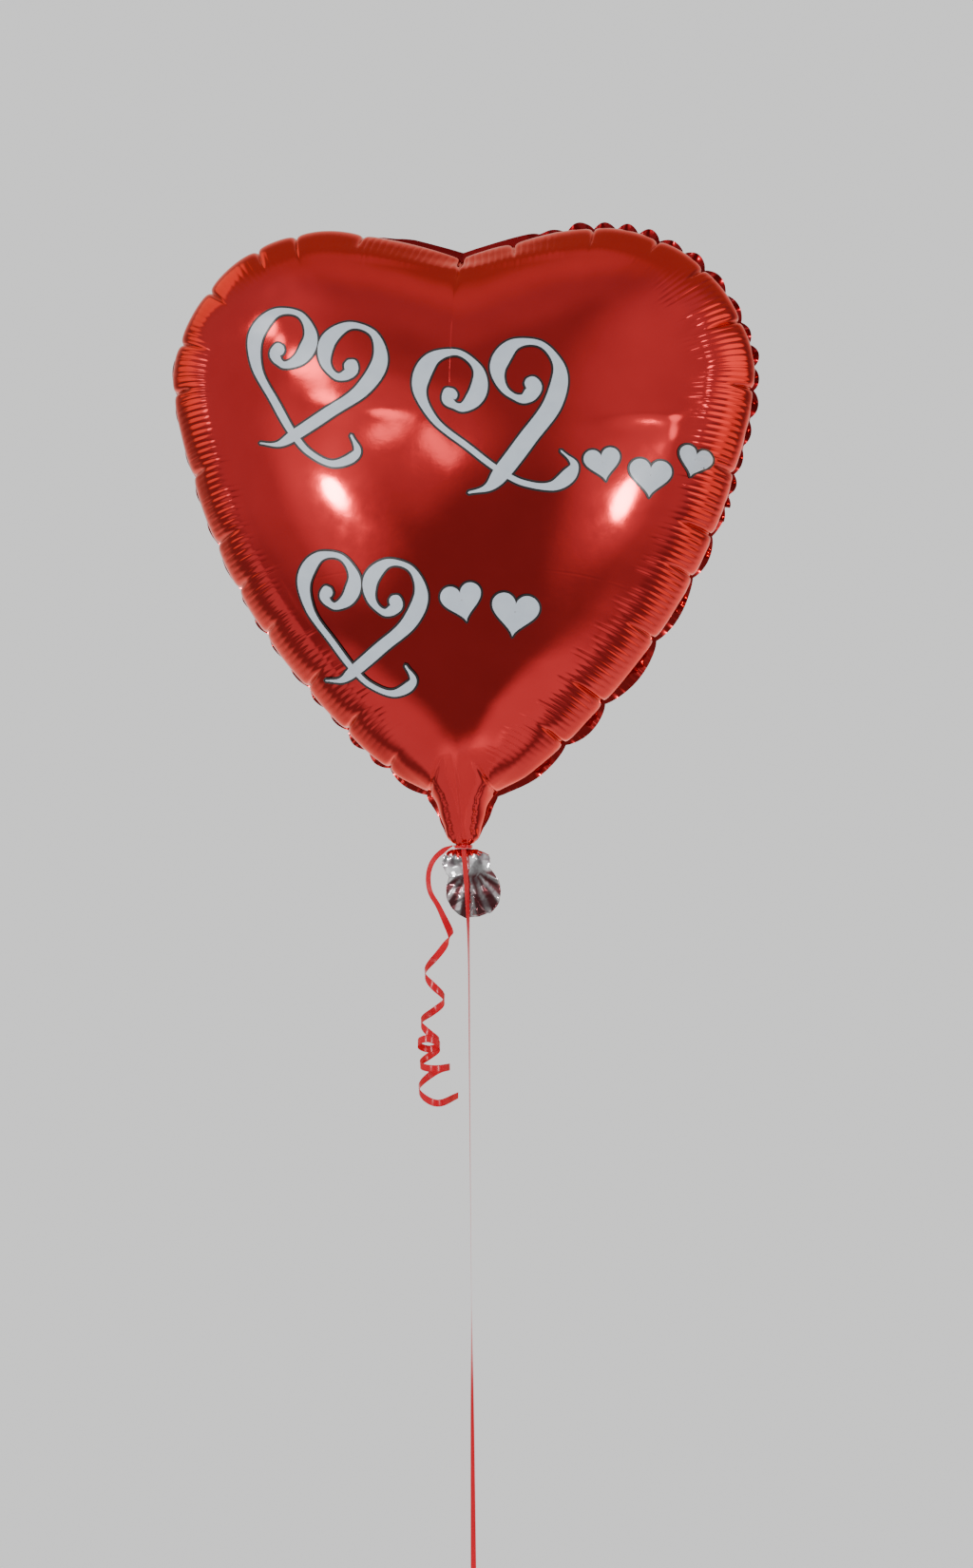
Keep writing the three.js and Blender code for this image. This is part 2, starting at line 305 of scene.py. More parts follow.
def print_ink(name, pale, dark, rough):
    material, tree, shader = new_material(name, Coat_Weight=0.35, Coat_Roughness=0.08)
    link(tree, ramp(tree, noise(tree, 120, 3), 0.3, 0.7, pale, dark), shader.inputs["Base Color"])
    link(tree, ramp(tree, noise(tree, 400, 3), 0.3, 0.7, rough, rough + 0.08), shader.inputs["Roughness"])
    bump(tree, shader, noise(tree, 1800, 3), 0.1, 0.00004)
    return material


def valve_film():
    material, tree, shader = new_material("valve_film", Alpha=0.45)
    pales = ramp(tree, noise(tree, 150), 0.3, 0.7, (0.80, 0.84, 0.87), (0.88, 0.91, 0.93))
    link(tree, pales, shader.inputs["Base Color"])
    link(tree, ramp(tree, noise(tree, 500, 3), 0.3, 0.7, 0.25, 0.40), shader.inputs["Roughness"])
    return material


RED = red_foil()
TAIL_FOIL = tail_foil()
RIBBON = ribbon_plastic()
WHITE_INK = print_ink("white_ink", (0.62, 0.71, 0.82), (0.67, 0.76, 0.87), 0.30)
BLACK_INK = print_ink("black_ink", (0.012, 0.010, 0.012), (0.02, 0.016, 0.018), 0.28)


# ---------------------------------------------------------------- camera

CAMERA_DISTANCE = 2.6
CAMERA_TURN = math.radians(5)  # to the right of the balloon's own front
CAMERA_HEIGHT = 0.042
CAMERA_OFFSET = 0.0165  # the picture's middle is this far right of the tie


def camera():
    data = bpy.data.cameras.new("camera")
    data.lens = 84.0
    data.sensor_width = 36.0
    made = bpy.data.objects.new("camera", data)
    bpy.context.collection.objects.link(made)
    right = Vector((math.cos(CAMERA_TURN), math.sin(CAMERA_TURN), 0))
    back = Vector((math.sin(CAMERA_TURN), -math.cos(CAMERA_TURN), 0))
    made.location = right * CAMERA_OFFSET + back * CAMERA_DISTANCE + Vector((0, 0, CAMERA_HEIGHT))
    made.rotation_euler = (math.pi / 2, 0, CAMERA_TURN)
    bpy.context.scene.camera = made


camera()


# ---------------------------------------------------------------- ribbon


def ribbon_strip(name, path, across, width=RIBBON_WIDTH, ply=RIBBON_PLY, closed=False):
    """A flat strip with slightly rounded faces along path, as wide as width, one number or one per point.

    across holds the direction of its width at each point.
    """
    RIB_TURNS = 14  # radians of the ribs' wave over half the width
    path = np.asarray(path)
    width = np.broadcast_to(width, len(path))[:, None, None]
    along = unit(np.gradient(path, axis=0))
    across = unit(across - along * np.sum(across * along, axis=1, keepdims=True))
    normal = np.cross(along, across)
    share = np.linspace(-1, 1, 9)
    bulge = np.sqrt(1 - 0.9 * share**2)
    section = np.vstack([np.stack([share, bulge], 1), np.stack([-share, -bulge], 1)])
    points = (
        path[:, None]
        + across[:, None] * section[None, :, :1] * width / 2
        + normal[:, None] * section[None, :, 1:] * ply / 2
    )
    rows, columns = len(path), len(section)
    faces = quads(rows, columns, wrap_rows=closed, wrap_columns=True).tolist()
    if not closed:
        faces += [list(range(columns)), list(range((rows - 1) * columns, rows * columns))[::-1]]
    made = make_object(name, points.reshape(-1, 3), faces, RIBBON)
    mark(made, "across", np.tile(section[:, 0] * RIB_TURNS, rows))
    return made


def tether():
    """The long ribbon: its full width shows at the knot, it turns edge-on lower down, then opens again."""
    TURN_AT = (0, -0.03, -0.068, -0.2, -0.32, -0.4, -0.515)
    TURN_DEGREES = (52, 48, 80, 88, 95, 124, 146)
    POINTS, EASED = 400, 15  # how many points, and how many either side the turn is averaged over
    path = evenly(spline(TETHER_ROUTE), POINTS)
    angle = np.radians(np.interp(path[:, 2], TURN_AT[::-1], TURN_DEGREES[::-1]))
    kernel = np.ones(2 * EASED + 1) / (2 * EASED + 1)
    angle = np.convolve(np.pad(angle, EASED, mode="edge"), kernel, mode="valid")
    across = np.stack([np.cos(angle), np.sin(angle), 0 * angle], 1)
    return ribbon_strip("tether", path, across), path


def curl():
    """The short end: a free stretch, then curls that tighten towards the cut end."""
    # Where the curl turns back, left and right in turn: x, z, and the height of the pass after it, in
    # millimetres.
    TURNS = [
        (-26, -24, -45), (-8.8, -66, -79), (-28.9, -93, -102), (-13.5, -111.5, -120.4),
        (-31.8, -127.5, -135.4), (-17.2, -142.3, -148.2), (-34.2, -143.4, -138.6), (-16.6, -145, -151.7),
        (-32.6, -158, -160.4), (-9.4, -159.6, -163.6), (-33.2, -175.3, -184.8),
    ]
    LAST = (-4.5, 10, -180.1)
    AXIS_Y = 8
    POINTS, PASSES = 700, 60
    GATHERED = 9 * MM  # narrow for this far from the tie
    turn_x = [x for x, _, _ in TURNS] + [LAST[0]]
    points = []  # x, y, z, and the x of the coil's middle there
    for k, (x, z, pass_z) in enumerate(TURNS):
        middle = (x + turn_x[k + 1]) / 2
        before = (x + turn_x[max(k - 1, 0)]) / 2
        in_front = -1 if k % 2 == 0 else 1
        points.append((x, AXIS_Y, z, (middle + before) / 2))
        points.append((middle, AXIS_Y + in_front * abs(turn_x[k + 1] - x) / 2, pass_z, middle))
    points.append((*LAST, points[-1][3]))
    coil = spline(np.array(points[2:]) * MM)
    lead = spline(LEAD_ROUTE)
    reach = run_length(lead)
    lead = lead[reach < reach[-1] - 9 * MM]  # the end of the lead makes way for the bend into the coil
    lead = np.column_stack([lead, np.full(len(lead), coil[0, 3])])
    path = evenly(softened(evenly(np.vstack([lead, coil]), POINTS), PASSES), POINTS)
    path, middle = path[:, :3], path[:, 3]
    # The width lies along the coil: square to the way the ribbon runs and to the radius of the curl.
    radial = path - np.stack([middle, np.full(len(path), AXIS_Y * MM), path[:, 2]], 1)
    across = unit(np.cross(unit(np.gradient(path, axis=0)), unit(radial)))
    # At the tie it is turned half towards the front, and eases into the coil.
    along = unit(np.gradient(path, axis=0))
    at_tie = unit(np.cross(along, (0, -1.0, 0)) + np.array([0, 0.8, 0]))
    eased = smoothstep(run_length(path), 45 * MM, 110 * MM)[:, None]
    across = unit(at_tie * (1 - eased) + across * eased)
    for _ in range(PASSES):
        across[1:-1] = unit(across[:-2] + across[1:-1] * 2 + across[2:])
    gathered = 0.3 + 0.7 * smoothstep(run_length(path), 0, GATHERED)
    return ribbon_strip("curled_end", path, across, RIBBON_WIDTH * gathered), path


def knotted(name, centre, size, width):
    """A small overhand knot of scrunched ribbon, drawn as a trefoil."""
    t = np.linspace(0, 2 * math.pi, 120, endpoint=False)
    x, y = np.sin(t) + 2 * np.sin(2 * t), np.cos(t) - 2 * np.cos(2 * t)
    path = np.stack([x, y, -1.6 * np.sin(3 * t)], 1) / 3
    path = centre + path * size
    closed_along = np.roll(path, -1, axis=0) - np.roll(path, 1, axis=0)
    across = np.cross(closed_along, path - centre)
    return ribbon_strip(name, path, unit(across), width, 0.4 * width, closed=True)


def wrapped():
    """Turns of scrunched ribbon round the neck, just under its bulge.

    They reach out where the curled end leaves them.
    """
    RADIUS, TURNS = 6.25 * MM, 3.4
    WAVER, REACH_OUT = 0.12 * MM, 0.75 * MM
    TOP, DROP = -1.5 * MM, 2.05 * MM
    t = np.linspace(0, 1, 400)
    angle = 2 * math.pi * TURNS * t - math.pi / 2
    leaving = REACH_OUT * np.exp(-(((angle - math.pi) / 0.3) ** 2))
    radius = RADIUS + WAVER * np.sin(7 * angle) + leaving
    path = np.stack([radius * np.cos(angle), radius * np.sin(angle), TOP - DROP * t], 1)
    across = np.tile([0, 0, 1.0], (len(t), 1))
    return ribbon_strip("neck_turns", path, across, 0.9 * MM, 0.6 * MM)


def hand_loop():
    low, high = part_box("hand_loop")
    middle, half = (low.x + high.x) / 2, (high.x - low.x) / 2 - 0.4 * MM
    t = np.linspace(0, 1, 161)
    angle = 2 * math.pi * t
    width = half * np.sin(angle) * np.sin(math.pi * t) ** 0.7 / 0.82
    z = high.z - (high.z - low.z - 0.4 * MM) * (1 - np.cos(angle)) / 2
    path = np.stack([middle - width, np.full_like(t, (low.y + high.y) / 2), z], 1)
    path = evenly(path, 160)
    across = np.tile([0, 1.0, 0], (len(path), 1))
    return ribbon_strip("loop", path, across)


long_ribbon, long_path = tether()
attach(long_ribbon, "tether")
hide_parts("tether_ribbon")
loop_low, loop_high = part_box("loop_knot")
loop_knot = knotted("loop_knot_turns", np.array((loop_low + loop_high) / 2), 2.6 * MM, 1.6 * MM)
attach(loop_knot, "tether")
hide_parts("loop_knot")
loop = hand_loop()
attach(loop, "tether")
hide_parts("hand_loop")

curled_end, curl_path = curl()
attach(curled_end, "curl")
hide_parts("curl_lead", "curl_coil")

tie_knot = knotted("tie_knot", KNOT, 1.7 * MM, 1.1 * MM)
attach(tie_knot, "tie")
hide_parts("ribbon_knot")
neck_turns = wrapped()
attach(neck_turns, "tie")
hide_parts("ribbon_wrap")


# ---------------------------------------------------------------- inflated film


def membrane(flat):
    """The soap-film height over a grid of flat points (x, z) that is held along its first column."""
    rows, columns = flat.shape[:2]
    p = flat.reshape(-1, 2)
    faces = quads(rows, columns)
    triangles = np.vstack([faces[:, [0, 1, 2]], faces[:, [0, 2, 3]]])
    load = np.zeros(len(p))
    ends, weights = [], []
    u, v = p[triangles[:, 1]] - p[triangles[:, 0]], p[triangles[:, 2]] - p[triangles[:, 0]]
    area = 0.5 * np.abs(u[:, 0] * v[:, 1] - u[:, 1] * v[:, 0])
    keep = area > 1e-9
    triangles, area = triangles[keep], area[keep]
    for turn in range(3):
        a, b, c = np.roll(triangles, -turn, axis=1).T
        u, v = p[b] - p[a], p[c] - p[a]
        load += np.bincount(a, area / 3, len(p))
        ends.append(np.stack([b, c], 1))
        weights.append(np.sum(u * v, 1) / (4 * area))
    ends, weights = np.vstack(ends), np.hstack(weights)
    free = np.ones((rows, columns), bool)
    free[:, 0] = False
    free = free.ravel()

    def stiffness(x):
        flow = weights * (x[ends[:, 0]] - x[ends[:, 1]])
        out, back = np.bincount(ends[:, 0], flow, len(p)), np.bincount(ends[:, 1], flow, len(p))
        return np.where(free, out - back, 0)

    diagonal = np.bincount(ends.ravel(), np.repeat(weights, 2), len(p))
    scale = np.where(free & (diagonal > 1e-12), 1 / np.maximum(diagonal, 1e-12), 0)
    x = np.zeros(len(p))
    r = np.where(free, load, 0)
    d = scale * r
    rho = r @ d
    STEPS = 1500
    for _ in range(STEPS):
        q = stiffness(d)
        alpha = rho / (d @ q)
        x += alpha * d
        r -= alpha * q
        z = scale * r
        rho, last = r @ z, rho
        if rho < 1e-14 * (load @ (scale * load)):
            break
        d = z + rho / last * d
    return np.maximum(x, 0).reshape(rows, columns)


def flat_rows(outline, spine, columns):
    """Rows of flat points that leave the outline square to it and bend to their feet on the middle line."""
    REACH, SHARE, NEAR_MIDDLE = 62, 0.42, 16
    FAN = 2.3  # above 1, the feet run ahead of the rows' upper ends
    CROWDED = 1.8  # above 1, the columns lie closer together near the outline
    share = np.linspace(0, 1, len(outline))
    foot = np.stack([0 * share, spine[0] + (spine[1] - spine[0]) * (1 - (1 - share) ** FAN)], 1)
    inward = -outline_normals(outline)
    towards = unit(foot - outline)
    ease = smoothstep(outline[:, 0], 0, NEAR_MIDDLE)[:, None]
    inward = unit(inward * ease + towards * (1 - ease))
    stride = np.minimum(REACH, SHARE * np.linalg.norm(foot - outline, axis=1))[:, None]
    bend = outline + inward * stride
    v = (np.linspace(0, 1, columns) ** CROWDED)[None, :, None]
    return outline[:, None] * (1 - v) ** 2 + bend[:, None] * 2 * v * (1 - v) + foot[:, None] * v**2


def outline_normals(outline):
    along = unit(np.gradient(outline, axis=0))
    return np.stack([along[:, 1], -along[:, 0]], 1)


class Half:
    """The right half of an inflated film: points in millimetres, their normals, and where each one lies."""

    PROFILE = 0.465  # the power of the soap film's height: lower is fuller near the weld

    def __init__(self, knots, rows, columns, spine, fullness, softening):
        outline = softened(evenly(spline(knots), rows), softening)
        outline = evenly(outline, rows)
        outline[[0, -1], 0] = 0
        coarse = flat_rows(evenly(outline, rows // 3), spine, 2 * columns // 3)
        lift = cubic_refine(cubic_refine(membrane(coarse), rows, 0), columns, 1)
        lift[:, 0] = 0
        flat = flat_rows(outline, spine, columns)
        height = fullness * np.maximum(lift, 0) ** self.PROFILE
        self.points = np.stack([flat[..., 0], height, flat[..., 1]], axis=-1)
        self.outline = outline
        self.along = run_length(outline)
        self.outward = outline_normals(outline)
        steps = np.linalg.norm(np.diff(self.points, axis=1), axis=-1)
        self.inward = np.concatenate([np.zeros((rows, 1)), np.cumsum(steps, axis=1)], axis=1)
        self.normals = self.find_normals()

    def find_normals(self):
        normal = unit(np.cross(np.gradient(self.points, axis=0), np.gradient(self.points, axis=1)))
        normal *= np.where(normal[..., 1:2] + 1e-3 * normal[..., :1] < 0, -1, 1)
        normal[0, :, 0] = normal[-1, :, 0] = normal[:, -1, 0] = 0
        return unit(normal)


def both_halves(right, left):
    """One grid from two half grids that meet on x = 0: vertices and faces."""
    rows, columns = right.shape[:2]
    left = left * np.array([-1, 1, 1])
    index = np.arange(rows * columns).reshape(rows, columns)
    mirrored = index + rows * columns
    mirrored[0], mirrored[-1] = index[0], index[-1]
    mirrored[:, -1] = index[:, -1]
    vertices = np.vstack([right.reshape(-1, 3), left.reshape(-1, 3)])
    faces = quads(rows, columns)
    faces = np.vstack([index.ravel()[faces], mirrored.ravel()[faces[:, ::-1]]])
    used, renumbered = np.unique(faces, return_inverse=True)
    return vertices[used], renumbered.reshape(faces.shape), used


def solid_faces(vertices, faces):
    """The faces without any whose corners share a place."""
    corner = vertices[faces]
    area = np.linalg.norm(np.cross(corner[:, 2] - corner[:, 0], corner[:, 3] - corner[:, 1]), axis=1)
    return faces[area > 1e-9]


def pointwise(side, table, along):
    return np.interp(along, *np.array(table[side], float).T)


class Creases:
    """The creases of one side, where the film puckers because gas draws its straight edge in."""

    RIPPLE_WIDTH = 4.7
    MOST_RIPPLES = 4000

    def __init__(self, side, along, seed):
        edges = np.array([10, *CREASES[side]], float)
        rng = np.random.default_rng(seed)
        span = np.clip(np.searchsorted(edges, along, side="right") - 1, 0, len(edges) - 2)
        self.width = (edges[1:] - edges[:-1])[span]
        share = np.clip((along - edges[span]) / self.width, 0, 1)
        self.share = share
        self.round = 1 - np.abs(2 * share - 1) ** 2.6
        self.flat = 1 - np.abs(2 * share - 1) ** 7
        self.number = span
        gaps = np.abs(along[:, None] - edges[None, 1:])
        self.nearest = np.min(gaps, axis=1)
        depth, length = rng.uniform(0.55, 1.1, len(edges) - 1), rng.uniform(34, 58, len(edges) - 1)
        depth[-1], length[-1] = 0.8, 40  # the crease at the cleft, which both sides share
        self.depth, self.length = depth[np.argmin(gaps, axis=1)], length[np.argmin(gaps, axis=1)]
        ripples = np.maximum(np.round(self.width / self.RIPPLE_WIDTH), 3)
        phase = share * ripples
        number = np.floor(phase).astype(int) + 40 * span
        self.ripple = np.abs(np.sin(math.pi * phase)) ** 0.8 - 0.6
        self.ripple_start = rng.uniform(13, 24, self.MOST_RIPPLES)[number]
        self.ripple_stop = rng.uniform(0.82, 1.08, self.MOST_RIPPLES)[number]
        power = rng.uniform(0.45, 1.1, self.MOST_RIPPLES)[number]
        self.ripple_power = power * pointwise(side, RIPPLED, along)


def groove(x, z, start, end, width):
    """1 on a line from start to end, fading over width to either side and towards the line's far end."""
    (x0, z0), (x1, z1) = start, end
    length = math.hypot(x1 - x0, z1 - z0)
    ux, uz = (x1 - x0) / length, (z1 - z0) / length
    along = ((x - x0) * ux + (z - z0) * uz) / length
    aside = (x - x0) * uz - (z - z0) * ux
    return np.exp(-np.abs(aside) / width) * smoothstep(along, -0.25, 0.1) * (1 - smoothstep(along, 0.5, 1.1))


def film_detail(half, side, seed):
    """Half's points with pillows, creases, ripples and soft folds added, and painted crease shade: how deep in
    a crease each is.
    """
    NARROW = 105  # rows shorter than this take all their detail nearer the edge
    s = half.along
    t = half.inward * np.maximum(1, NARROW / half.inward[:, -1:])
    c = Creases(side, s, seed)
    grow = smoothstep(s, 34, 74)
    top = smoothstep(s, 470, 520)

    def column(values):
        return values[:, None]

    ledge = column(68 - 16 * top)
    pillow = smoothstep(t, 0, 12) * (1 - smoothstep(t, 0.45 * ledge, 0.8 * ledge))
    lift = column(0.9 * c.round * grow) * pillow
    run = smoothstep(t, 2, 8) * (1 - smoothstep(t, column(c.length - 14), column(c.length + 6)))
    lift = lift - column(1.9 * np.exp(-c.nearest / 1.3) * c.depth * grow) * run
    # Painted shade along the creases, which the foil's colour is darkened by.
    painted_crease_shade = column(np.exp(-c.nearest / 0.8) * c.depth * grow) * run
    soft = 0.35 * np.exp(-((c.nearest / 7) ** 2)) * c.depth**3 * grow
    lift = lift - column(soft) * smoothstep(t, 16, 34) * (1 - smoothstep(t, 46, 104))
    step = (0.75 + 0.25 * top) * grow * np.clip(pointwise(side, RIPPLED, s) + 0.2 * top, 0.2, 1)
    lift = lift + column(step) * (1 - smoothstep(t, ledge - 4, ledge + 4)) * smoothstep(t, 0, 14)
    begin, end = column(c.ripple_start), column(c.ripple_stop) * ledge
    band = smoothstep(t, begin, begin + 8) * (1 - smoothstep(t, end - 5, end + 5))
    lift = lift + column(0.55 * c.ripple_power * c.ripple * grow) * band

    x, z = half.points[..., 0] * side, half.points[..., 2]
    sway = 0
    for k in range(6):
        heading = k * 1.1 + 0.4 + 0.2 * seed
        length = 76 + 15 * k
        sway = sway + np.sin(2 * math.pi * (x * math.cos(heading) + z * math.sin(heading)) / length + 1.7 * k)
    lift = lift + 0.2 * sway * smoothstep(t, 30, 90)
    for fold_x, fold_z, long_x, long_z, size in SOFT_FOLDS:
        near = ((x - fold_x) / long_x) ** 2 + ((z - fold_z) / long_z) ** 2
        lift = lift + size * np.exp(-near)
    valley = 4 * np.exp(-((x / 26) ** 2)) * smoothstep(z, 318, 396) * smoothstep(t, 8, 30)
    valley = valley + 3.2 * np.exp(-np.abs(x) / 1.8) * smoothstep(z, 376, 402)

    # The neck: a flat panel between two crinkled folds, pleats at the tie, and a crease in from each corner.
    x = np.abs(x)
    lower = slice(0, len(s) // 4)
    half_width = np.interp(z, half.outline[lower, 1], half.outline[lower, 0])
    wander = 0.5 * np.sin(0.9 * z + side) + 0.3 * np.sin(2.3 * z)
    fold = np.exp(-(((x - 0.58 * half_width - wander) / 0.9) ** 2))
    lift = lift - 0.6 * fold * smoothstep(z, 3, 9) * (1 - smoothstep(z, 30, 48)) * (1 + 0.5 * np.sin(3.1 * z))
    lift = lift - 1.9 * groove(x, z, (24, 35), (11, 60), 1.3)
    lift = lift + 0.35 * np.cos(2.1 * x) * np.exp(-np.maximum(z + 1, 0) / 4)

    points = half.points + half.normals * (lift * smoothstep(t, 0, 2.5))[..., None]
    points[..., 1] -= valley * smoothstep(t, 0, 3)
    over = column((3.2 * (0.8 + 0.2 * c.flat) - 0.9 * np.exp(-c.nearest / 1.3)) * grow)
    over = over * smoothstep(t, 0, 5) * (1 - smoothstep(t, 9, 36))
    points[..., 0] += over * column(half.outward[:, 0])
    points[..., 2] += over * column(half.outward[:, 1])
    blunt = 0.3 * smoothstep(points[..., 2], -1.0, -0.2) * (1 - smoothstep(points[..., 2], 1, 12))
    points[..., 0] *= 1 + blunt
    return points, painted_crease_shade


def rim(half, side, points):
    """The welded margin outside the weld line. Its free edge is loose, so it stands in small lobes."""
    ROWS = 6
    LOBE = {1: ((0, 42), (290, 42), (310, 18), (664, 18)), -1: ((0, 24), (664, 24))}
    s = half.along
    c = Creases(side, s, 0)
    upright = (1 - smoothstep(half.outline[:, 0], 0, 16)) * (half.outline[:, 1] > 200)
    outward = unit(half.outward * (1 - upright[:, None]) + np.array([0, 1.0]) * upright[:, None])
    loose = 1 - smoothstep(s, 585, 620)
    phase = c.share * np.maximum(np.round(c.width / pointwise(side, LOBE, s)), 1)
    lobe = np.abs(np.sin(math.pi * phase)) ** 0.75
    size = np.random.default_rng(30 + side).uniform(0.75, 1.1, 600)[(phase + 12 * c.number).astype(int)]
    reach = pointwise(side, MARGIN, s) * (1 - (1 - size * lobe) * 0.62 * loose)
    crinkle = 0.3 * np.sin(0.9 * s + 2 * np.sin(s / 9)) * (1 - 0.7 * smoothstep(s, 260, 330))
    swing = (1.5 * np.sin(2 * math.pi * phase + 0.6) + crinkle) * lobe * loose + 0.8
    rows = []
    for k in range(ROWS, 0, -1):
        share = k / ROWS
        flat = points[:, 0, [0, 2]] + outward * (reach * share)[:, None]
        depth = swing * share**1.4 * np.minimum(reach / 6, 1.4)
        rows.append(np.stack([flat[:, 0], points[:, 0, 1] + depth, flat[:, 1]], 1))
    made = np.stack(rows, axis=1)
    made[[0, -1], :, 0] = 0
    return made


def balloon_films():
    """The front and back films of the heart: the same half grids, with the depth turned over."""
    ROWS, COLUMNS, GAP = 1040, 40, 0.16
    half = Half(HEART, ROWS, COLUMNS, (3.5, 300), 1.56, 12)
    made = {}
    for name, facing in (("front", -1), ("back", 1)):
        sides, dark = [], []
        for side in (1, -1):
            points, painted_crease_shade = film_detail(half, side, 6 + facing + 2 * side)
            margin = rim(half, side, points)
            # Painted shade for the dark mark: the welded margin is darker towards the top, and lines run along
            # the creases.
            shade = 0.3 + 0.7 * smoothstep(margin[..., 2], 180, 330)
            dark.append(np.concatenate([shade, 0.8 * painted_crease_shade], axis=1).ravel())
            points[..., 1] = facing * (points[..., 1] + GAP)
            margin[..., 1] += facing * GAP
            sides.append(np.concatenate([margin, points], axis=1))
        vertices, faces, used = both_halves(*sides)
        if facing > 0:
            faces = faces[:, ::-1]
        film = make_object(f"heart_{name}", vertices * MM, solid_faces(vertices, faces), RED)
        mark(film, "dark", np.concatenate(dark)[used])
        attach(film, "balloon")
        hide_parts(f"{name}_film")
        made[name] = film
    return made


films = balloon_films()


# ---------------------------------------------------------------- printed scrolls


def surface_of(film):
    mesh = film.data
    return BVHTree.FromPolygons([v.co for v in mesh.vertices], [p.vertices for p in mesh.polygons])


FRONT = surface_of(films["front"])


class PrintLayer:
    """Ink on the front film: each shape is laid on the film, a hair above the shapes before it."""

    OUTLINE = 1.5  # how far the dark outline shows past the pale fill, in millimetres
    BELOW = 0.07  # how far the outline lies under its fill
    STEP = 0.05  # how much higher each new shape lies

    def __init__(self):
        self.vertices = {"fill": [], "edge": []}
        self.faces = {"fill": [], "edge": []}
        self.height = 0.16

    def lay(self, kind, grid, rise, wrap=False):
        """A grid of points (x, z), row by row, dropped on to the film and raised by rise millimetres."""
        base = len(self.vertices[kind])
        for row, up in zip(grid, rise):
            for x, z in row:
                place, normal, _, _ = FRONT.ray_cast(Vector((x * MM, -0.5, z * MM)), Vector((0, 1, 0)))
                if normal.y > 0:
                    normal = -normal
                self.vertices[kind].append(place + normal * up * MM)
        self.faces[kind] += (quads(len(grid), len(grid[0]), wrap_columns=wrap) + base).tolist()

    def stroke(self, points, thick):
        """A pen stroke through points (x, z): thick where it runs down to the left, fine elsewhere."""
        SLANT = math.radians(66)
        line = evenly(spline(points), max(int(run_length(spline(points))[-1] / 0.9), 12))
        length = run_length(line)
        along = unit(np.gradient(line, axis=0))
        width = thick * (0.30 + 0.70 * np.abs(along @ (math.cos(SLANT), math.sin(SLANT))) ** 3)
        ball = 0.85 * thick * np.exp(-((length / (0.55 * thick)) ** 4))
        taper = smoothstep(length, length[-1] - 2.4 * thick, length[-1])
        width = np.maximum(width, ball) * (1 - 0.75 * taper)
        width = np.convolve(np.pad(width, 7, mode="edge"), np.ones(15) / 15, mode="valid")
        side = outline_normals(line)
        rise = self.height + 0.22 * length / length[-1]
        for kind, spare, drop in (("edge", self.OUTLINE, self.BELOW), ("fill", 0.0, 0.0)):
            ends = np.array([line[0] - along[0] * spare, line[-1] + along[-1] * spare])
            middle = np.vstack([ends[:1], line, ends[1:]])
            half_width = np.r_[width[0], width, width[-1]] / 2 + spare
            gone = run_length(middle)
            inside = np.clip(np.minimum(gone, gone[-1] - gone) / half_width, 0, 1)
            half_width = half_width * np.sqrt(1 - 0.985 * (1 - inside) ** 2)
            facing = np.vstack([side[:1], side, side[-1:]])
            across = np.linspace(-1, 1, 9)[None, :, None]
            grid = middle[:, None] + facing[:, None] * half_width[:, None, None] * across
            self.lay(kind, grid, np.r_[rise[0], rise, rise[-1]] - drop)
        self.height += self.STEP

    def solid_heart(self, centre, size, tilt):
        """A filled heart, size millimetres from its middle to its tip."""
        t = np.linspace(0, 2 * math.pi, 72, endpoint=False)
        x = 16 * np.sin(t) ** 3
        z = 13 * np.cos(t) - 5 * np.cos(2 * t) - 2 * np.cos(3 * t) - np.cos(4 * t)
        edge = turned(np.stack([x, z], 1) * size / 17, tilt)
        outward = outline_normals(np.vstack([edge, edge[:1]]))[:-1]
        outward *= np.sign(np.sum(outward * edge, axis=1, keepdims=True))
        for kind, spare, drop in (("edge", self.OUTLINE, self.BELOW), ("fill", 0.0, 0.0)):
            shares = np.linspace(0.02, 1, 12)
            grid = [centre + (edge + outward * spare) * share for share in shares]
            self.lay(kind, grid, [self.height + 0.1 - drop] * len(shares), wrap=True)
        self.height += self.STEP

    def scroll_heart(self, centre, size, tilt, thick):
        """An open heart of two pen strokes that start in a curl, meet at the tip and cross in a tail."""
        SIDE = [
            (0.52, 0.34), (0.62, 0.20), (0.44, 0.06), (0.20, 0.22), (0.14, 0.56), (0.40, 0.86), (0.78, 0.82),
            (1.0, 0.44), (0.86, -0.04), (0.42, -0.52), (0.02, -0.92),
        ]
        TAILS = {
            1: [(-0.22, -1.12), (-0.52, -1.16)],
            -1: [(-0.30, -1.14), (-0.72, -1.22), (-1.02, -0.98), (-0.86, -0.74)],
        }
        for mirror in (1, -1):
            shape = np.array(SIDE + TAILS[mirror]) * (mirror, 1)
            self.stroke(centre + turned(shape * size, tilt), thick)

    def finish(self):
        for kind, name, ink in (("edge", "print_outline", BLACK_INK), ("fill", "print_fill", WHITE_INK)):
            piece = make_object(name, [tuple(v) for v in self.vertices[kind]], self.faces[kind], ink)
            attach(piece, "balloon")


def turned(points, degrees):
    """Points (x, z) turned about the origin, to the left when degrees is positive."""
    a = math.radians(degrees)
    return np.asarray(points) @ np.array([[math.cos(a), math.sin(a)], [-math.sin(a), math.cos(a)]])


def printed_scrolls():
    layer = PrintLayer()
    layer.scroll_heart((-98, 324), 46, -14, 12)
    layer.scroll_heart((30, 299), 48, 8, 12.5)
    for centre, size, tilt in (((104, 262), 13, 10), ((136, 254), 15, -4), ((166, 266), 12, -16)):
        layer.solid_heart(centre, size, tilt)
    layer.scroll_heart((-64, 160), 42, -8, 11)
    for centre, size, tilt in (((8, 168), 15, 12), ((44, 160), 17, -8)):
        layer.solid_heart(centre, size, tilt)
    layer.finish()


printed_scrolls()


# ---------------------------------------------------------------- tail


